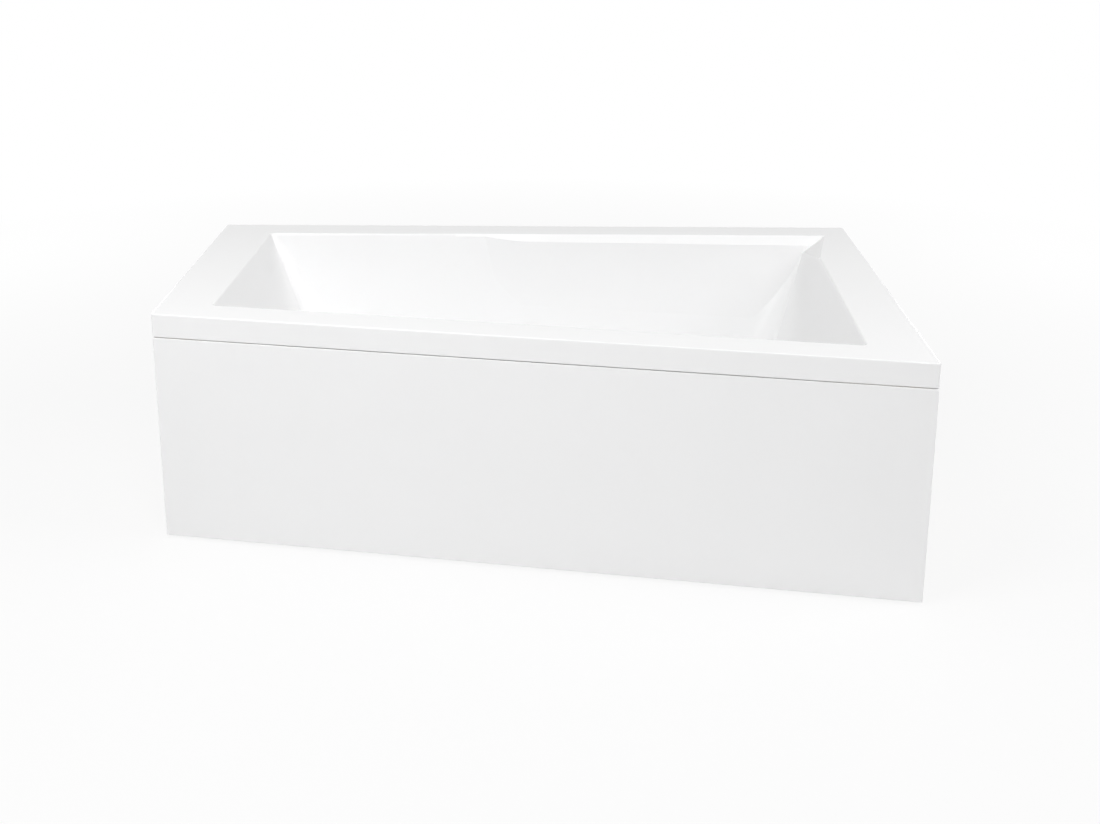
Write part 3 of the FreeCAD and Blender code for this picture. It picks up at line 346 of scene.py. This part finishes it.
hoseLook = {
    "dark": shade(0.50, 0.51, 0.53), "light": shade(0.60, 0.61, 0.62),
    "scuffed": shade(0.40, 0.40, 0.41), "worn": 0.3,
    "cloud": (40, 3, 0.5), "grain": (800, 2, 0.6), "rough": 0.40, "bend": 1.5, "deep": 0.0001,
}
rubberLook = {
    "dark": shade(0.020, 0.020, 0.021), "light": shade(0.040, 0.040, 0.040),
    "scuffed": shade(0.12, 0.12, 0.115), "worn": 0.6,
    "cloud": (60, 3, 0.5), "grain": (1300, 2, 0.6), "rough": 0.62, "bend": 1.5, "deep": 0.00015,
}


def mouldedPaint(name, own):
    look = {**mouldedLook, **own}
    paint = newPaint(name)
    cloud = paint.noise(*look["cloud"])
    grain = paint.noise(*look["grain"])
    rub = paint.noise(*look["rub"], paint.stretch(look["rubSize"], look["rubTurn"]))
    scuff = paint.ramp(rub, look["scuffStops"])
    colour = paint.tint(cloud, look["dark"], look["light"])
    colour = paint.tint(scuff * look["worn"], colour, look["scuffed"])
    rough = look["rough"] + grain * look["grainRough"] + scuff * look["scuffRough"]
    height = grain * look["grainRise"] + cloud * look["cloudRise"]
    skin = {"Base Color": colour, "Roughness": rough, "IOR": look["bend"]}
    return paint.finish(skin, height, look["deep"])


planShape = {"length": 1.7, "widening": 0.3}
taper = math.atan2(planShape["widening"], planShape["length"])   # turn of the front edge
paints = {
    "acrylic": acrylicPaint(acrylicLook),
    "laminate": laminatePaint(laminateLook),
    "chipboard": chipboardPaint(chipboardLook),
    "timber": timberPaint("sawnTimberAlong", 0, timberLook),
    "zinc_steel": steelPaint(steelLook),
    "chrome": chromePaint(chromeLook),
    "black_plastic": mouldedPaint("blackMoulding", blackLook),
    "white_plastic": mouldedPaint("whiteMoulding", whiteLook),
    "grey_hose": mouldedPaint("greyHose", hoseLook),
    "rubber": mouldedPaint("blackRubber", rubberLook),
}
ownTimber = {   # battens whose grain runs another way
    "rim_batten_front": timberPaint("sawnTimberFront", taper, timberLook),
    "rim_batten_right": timberPaint("sawnTimberRight", math.pi / 2, timberLook),
    "rim_batten_left": timberPaint("sawnTimberLeft", math.pi / 2, timberLook),
}


def dressNodes():
    for row in frame["record"]["subparts"]:
        name = row["node"]
        piece = nodes[name]
        piece.data.materials.clear()
        piece.data.materials.append(ownTimber.get(name) or paints[row["material_slot"]])


dressNodes()
print("materials on", len(nodes), "pieces")


# overflow hose and control cable: tubes along a route
tubeSetup = {"routeOrder": 3, "routeSteps": 64, "mergeWithin": 0.000001}


def routeLine(name, points):
    curve = bpy.data.curves.new(name, "CURVE")
    curve.dimensions = "3D"
    spline = curve.splines.new("NURBS")
    spline.points.add(len(points) - 1)
    for point, place in zip(spline.points, points):
        point.co = (*place, 1)
    spline.order_u = tubeSetup["routeOrder"]
    spline.use_endpoint_u = True
    curve.resolution_u = tubeSetup["routeSteps"]
    holder = bpy.data.objects.new(name, curve)
    scene.collection.objects.link(holder)
    bpy.context.view_layer.update()
    mesh = bpy.data.meshes.new_from_object(holder.evaluated_get(bpy.context.evaluated_depsgraph_get()))
    line = [vertex.co.copy() for vertex in mesh.vertices]
    bpy.data.objects.remove(holder)
    bpy.data.meshes.remove(mesh)
    return line


def walkLine(line, distances):   # place and heading at each distance along the line
    lengths = [0.0]
    for before, after in zip(line, line[1:]):
        lengths.append(lengths[-1] + (after - before).length)
    found = {}
    at = 0
    for distance in sorted(distances):
        while at < len(line) - 2 and lengths[at + 1] < distance:
            at += 1
        share = (distance - lengths[at]) / (lengths[at + 1] - lengths[at])
        heading = line[min(at + 2, len(line) - 1)] - line[max(at - 1, 0)]
        found[distance] = (line[at].lerp(line[at + 1], share), heading)
    return found


def lineLength(line):
    return sum((after - before).length for before, after in zip(line, line[1:]))


# stations: distance along the line and radius, closed into a loop
def tubeMesh(name, line, stations, sides):
    side = Vector((math.cos(taper), -math.sin(taper), 0))
    places = walkLine(line, {distance for distance, radius in stations})
    points, faces = [], []
    for distance, radius in stations:
        middle, heading = places[distance]
        over = heading.normalized().cross(side)
        for i in range(sides):
            turn = 2 * math.pi * i / sides
            points.append(middle + (side * math.cos(turn) + over * math.sin(turn)) * radius)
    rings = len(stations)
    for ring in range(rings):
        after = (ring + 1) % rings
        for i in range(sides):
            j = (i + 1) % sides
            faces.append((ring * sides + i, ring * sides + j, after * sides + j, after * sides + i))
    mesh = bpy.data.meshes.new(name)
    mesh.from_pydata(points, [], faces)
    piece = bpy.data.objects.new(name, mesh)
    scene.collection.objects.link(piece)
    return piece


def selectOnly(piece):
    bpy.ops.object.select_all(action="DESELECT")
    piece.select_set(True)
    bpy.context.view_layer.objects.active = piece


def smoothTube(piece, angle):
    selectOnly(piece)
    bpy.ops.object.mode_set(mode="EDIT")
    bpy.ops.mesh.select_all(action="SELECT")
    bpy.ops.mesh.remove_doubles(threshold=tubeSetup["mergeWithin"])
    bpy.ops.mesh.normals_make_consistent(inside=False)
    bpy.ops.object.mode_set(mode="OBJECT")
    bpy.ops.object.shade_smooth_by_angle(angle=math.radians(angle))


hoseSetup = {   # down from the overflow and back to the waste
    "route": [(0.011425, -0.335256, 0.398109), (0.015036, -0.314795, 0.200420),
              (0.016431, -0.306892, 0.124067), (0.026345, -0.250711, 0.072700),
              (0.039687, -0.175109, 0.072700), (0.041880, -0.162679, 0.072700)],
    "bore": 0.0183, "boreSteps": 60, "skin": 0.0208, "plainEnd": 0.016,
    "rib": 0.0020, "ribPitch": 0.0060, "ribSteps": 8, "ribFullness": 0.7, "sides": 36, "smoothBelow": 60,
}


def buildHose(setup):
    line = routeLine("hoseRoute", setup["route"])
    total = lineLength(line)
    ribbed = total - 2 * setup["plainEnd"]
    count = round(ribbed / setup["ribPitch"])
    pitch = ribbed / count
    stations = [(0.0, setup["skin"])]
    for i in range(count * setup["ribSteps"] + 1):
        along = setup["plainEnd"] + pitch * i / setup["ribSteps"]
        wave = 0.5 - 0.5 * math.cos(2 * math.pi * i / setup["ribSteps"])
        stations.append((along, setup["skin"] + setup["rib"] * wave ** setup["ribFullness"]))
    stations.append((total, setup["skin"]))
    for i in range(setup["boreSteps"], -1, -1):
        stations.append((total * i / setup["boreSteps"], setup["bore"]))
    piece = tubeMesh("ribbedHose", line, stations, setup["sides"])
    smoothTube(piece, setup["smoothBelow"])
    piece.data.materials.append(paints["grey_hose"])
    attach(piece, "bath")
    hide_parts("overflow_hose")
    print("hose", round(total, 4), "m,", count, "ribs")


cableSetup = {   # from the knob's gland to the lifter's gland, with a hole for the wire
    "route": [(0.051824, -0.348011, 0.450819), (0.056626, -0.320795, 0.187879),
              (0.057742, -0.314473, 0.126798), (0.065674, -0.269525, 0.085701),
              (0.076348, -0.209041, 0.085701), (0.086131, -0.153601, 0.085701)],
    "radius": 0.0025, "wire": 0.0008, "sides": 16, "steps": 90, "smoothBelow": 50,
}


def buildCable(setup):
    line = routeLine("cableRoute", setup["route"])
    total = lineLength(line)
    marks = [total * i / setup["steps"] for i in range(setup["steps"] + 1)]
    stations = [(mark, setup["radius"]) for mark in marks]
    stations += [(mark, setup["wire"]) for mark in reversed(marks)]
    piece = tubeMesh("controlCableSheath", line, stations, setup["sides"])
    smoothTube(piece, setup["smoothBelow"])
    piece.data.materials.append(paints["black_plastic"])
    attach(piece, "bath")
    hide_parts("control_cable")
    print("cable", round(total, 4), "m")


buildHose(hoseSetup)
buildCable(cableSetup)


# levelling studs with a cut thread: one is modelled on the origin and copied to each foot
studSetup = {
    "corners": ("front_left", "rear_left", "front_right", "rear_right"),
    "pitch": 0.00175, "crest": 0.0060, "root": 0.0050, "steps": 28, "spareTurns": 2,
    "mergeWithin": 0.00002, "smoothBelow": 35,
}


def modelStud(setup, tall):
    pitch = setup["pitch"]
    bpy.ops.object.select_all(action="DESELECT")
    bpy.ops.mesh.primitive_circle_add(vertices=3, radius=setup["crest"])
    stud = bpy.context.object
    corners = [(setup["crest"], 0, 0), (setup["root"], 0, pitch / 2), (setup["root"], 0, -pitch / 2)]
    for vertex, corner in zip(stud.data.vertices, corners):
        vertex.co = corner
    bpy.ops.object.mode_set(mode="EDIT")
    bpy.ops.mesh.select_mode(type="EDGE")
    bpy.ops.mesh.select_all(action="DESELECT")
    bpy.ops.object.mode_set(mode="OBJECT")
    for edge in stud.data.edges:
        edge.select = 0 not in edge.vertices   # the edge along the root goes
    bpy.ops.object.mode_set(mode="EDIT")
    bpy.ops.mesh.delete(type="EDGE")
    bpy.ops.object.mode_set(mode="OBJECT")
    wind = stud.modifiers.new("wind", "SCREW")
    wind.axis = "Z"
    wind.screw_offset = pitch
    wind.iterations = math.ceil(tall / pitch) + setup["spareTurns"]
    wind.steps = setup["steps"]
    wind.render_steps = setup["steps"]
    wind.use_merge_vertices = True
    bpy.ops.object.modifier_apply(modifier="wind")
    bpy.ops.object.mode_set(mode="EDIT")
    bpy.ops.mesh.select_all(action="SELECT")
    bpy.ops.mesh.remove_doubles(threshold=setup["mergeWithin"])
    for level, way in ((pitch, -1), (pitch + tall, 1)):   # trim and close the ends
        bpy.ops.mesh.select_all(action="SELECT")
        bpy.ops.mesh.bisect(plane_co=(0, 0, level), plane_no=(0, 0, way), use_fill=True, clear_outer=True)
    bpy.ops.mesh.select_all(action="SELECT")
    bpy.ops.transform.translate(value=(0, 0, -pitch))
    bpy.ops.mesh.normals_make_consistent(inside=False)
    bpy.ops.object.mode_set(mode="OBJECT")
    bpy.ops.object.shade_smooth_by_angle(angle=math.radians(setup["smoothBelow"]))
    stud.data.materials.append(paints["zinc_steel"])
    return stud


def placeStud(pattern, corner):
    name = "foot_stud_" + corner
    low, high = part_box(name)
    middle = (low + high) / 2
    stud = pattern.copy()
    stud.data = pattern.data.copy()
    stud.name = "threaded_stud_" + corner
    stud.data.transform(Matrix.Translation((middle.x, middle.y, low.z)))
    scene.collection.objects.link(stud)
    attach(stud, "foot_" + corner)
    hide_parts(name)
    print(stud.name, len(stud.data.polygons), "faces")


def buildStuds(setup):
    low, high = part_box("foot_stud_" + setup["corners"][0])
    pattern = modelStud(setup, high.z - low.z)
    for corner in setup["corners"]:
        placeStud(pattern, corner)
    bpy.data.meshes.remove(pattern.data)   # its object goes with it


buildStuds(studSetup)


# studio: pale floor, white surround, soft lamps
studio = {
    "floorSize": 60, "floorLevel": -0.001, "floorShade": shade(0.81, 0.81, 0.81),
    "floorGlow": 0.86, "clearFrom": 1.6, "clearAt": 3.6,   # fades to white between the last two
    "white": shade(1, 1, 1), "ambient": 0.12,
    "lamps": {
        "frontHigh": {"place": (1.1, -4.2, 3.0), "aim": (0.2, 0.2, 0.3), "size": (1.8, 1.2), "power": 63},
        "frontLeft": {"place": (-2.6, -3.0, 1.6), "aim": (-0.3, -0.2, 0.3), "size": (2.0, 2.0), "power": 12},
        "topLeft": {"place": (-1.6, -1.6, 3.0), "aim": (-0.3, 0.0, 0.3), "size": (1.6, 1.6), "power": 49},
        "overhead": {"place": (-1.2, -0.2, 3.0), "aim": (-0.4, 0.0, 0.4), "size": (2.0, 2.4), "power": 13},
        "sideRight": {"place": (3.4, -0.6, 2.2), "aim": (-0.6, 0.0, 0.4), "size": (1.6, 1.6), "power": 26},
        "highRight": {"place": (2.4, -0.6, 2.6), "aim": (-0.6, 0.0, 0.4), "size": (1.6, 1.6), "power": 22},
        "behindLeft": {"place": (-2.4, 2.4, 0.9), "aim": (-0.2, 0.4, 0.3), "size": (1.2, 1.0), "power": 15},
        "behindRight": {"place": (2.4, 2.4, 0.9), "aim": (0.2, 0.4, 0.3), "size": (1.2, 1.0), "power": 15},
    },
}


def hangLamp(name, setup):
    bpy.ops.object.light_add(type="AREA")
    lamp = bpy.context.object
    lamp.name = name
    lamp.data.shape = "RECTANGLE"
    lamp.data.size, lamp.data.size_y = setup["size"]
    lamp.data.energy = setup["power"]
    aim = Vector(setup["aim"]) - Vector(setup["place"])
    turn = aim.to_track_quat("-Z", "Y").to_matrix().to_4x4()
    lamp.matrix_world = Matrix.Translation(setup["place"]) @ turn


def glowShare(paint):   # 1 where a ray should see plain white
    kinds = ("Is Camera Ray", "Is Glossy Ray", "Is Transmission Ray")
    seen = sum(paint.node("LightPath", None, None, kind) for kind in kinds)
    return paint.node("Math", {"operation": "MINIMUM"}, {0: seen, 1: 1.0})


def layFloor(setup):
    bpy.ops.object.select_all(action="DESELECT")
    bpy.ops.mesh.primitive_plane_add(size=setup["floorSize"], location=(0, 0, setup["floorLevel"]))
    floor = bpy.context.object
    floor.name = "studioFloor"
    paint = newPaint("paleFloor")
    matt = paint.node("BsdfDiffuse", None, {"Color": setup["floorShade"]})
    glow = paint.node("Emission", None, {"Color": setup["white"], "Strength": 1.0})
    reach = paint.node("VectorMath", {"operation": "LENGTH"}, {0: paint.spot}, "Value") / setup["clearAt"]
    clear = paint.ramp(reach, ((setup["clearFrom"] / setup["clearAt"], setup["floorGlow"]), (1.0, 1.0)))
    skin = paint.node("MixShader", None, {0: glowShare(paint) * clear, 1: matt, 2: glow})
    paint.node("OutputMaterial", None, {"Surface": skin})
    floor.data.materials.append(paint.owner)


def lightWorld(setup):
    world = bpy.data.worlds.new("whiteSurround")
    scene.world = world
    air = Paint(world)
    strength = setup["ambient"] + glowShare(air) * (1 - setup["ambient"])
    sky = air.node("Background", None, {"Color": setup["white"], "Strength": strength})
    air.node("OutputWorld", None, {"Surface": sky})


layFloor(studio)
lightWorld(studio)
for lampName, lampSetup in studio["lamps"].items():
    hangLamp(lampName, lampSetup)
print("studio lit with", len(studio["lamps"]), "lamps")
